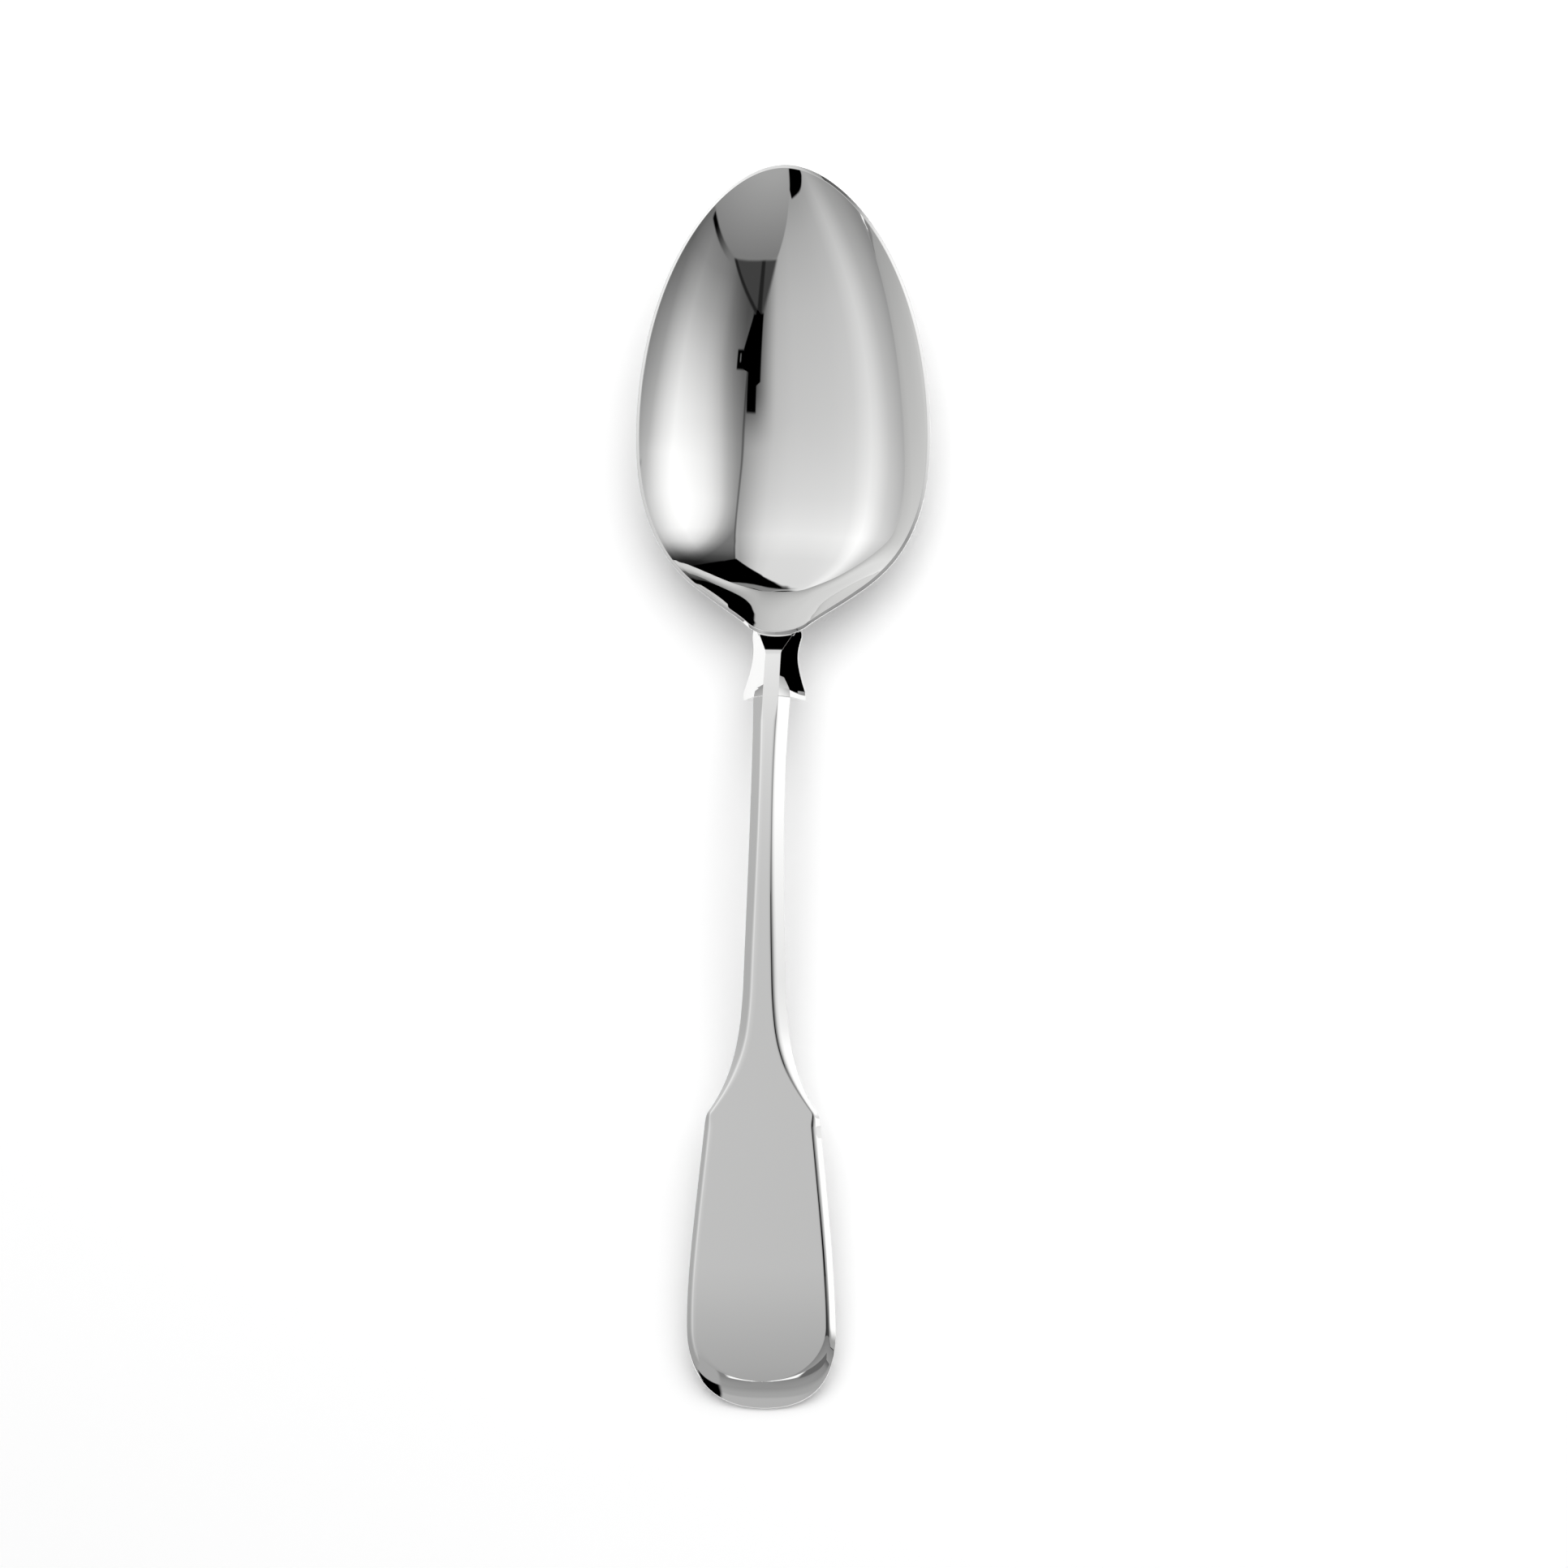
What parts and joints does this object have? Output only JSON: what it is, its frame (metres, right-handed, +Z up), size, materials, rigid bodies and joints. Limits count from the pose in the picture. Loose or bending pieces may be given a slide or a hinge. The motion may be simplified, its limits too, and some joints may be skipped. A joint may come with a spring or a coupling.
{
  "type": "table spoon",
  "caption": "Polished metal table spoon with a pointed oval bowl, a flared neck, a slim bevelled stem and a broad turned-down handle end, for eating and serving.",
  "frame": {"origin": "on the table under the middle of the spoon's outline", "axes": "+Y along the spoon towards the bowl's tip, +Z up out of the bowl, X across, with the spoon symmetric about X = 0"},
  "size_m": [0.0504, 0.2102, 0.0197],
  "materials": {
    "silver": "mirror polish"
  },
  "bodies": {
    "root": {"bowl": "silver", "handle": "silver"}
  },
  "joints": []
}
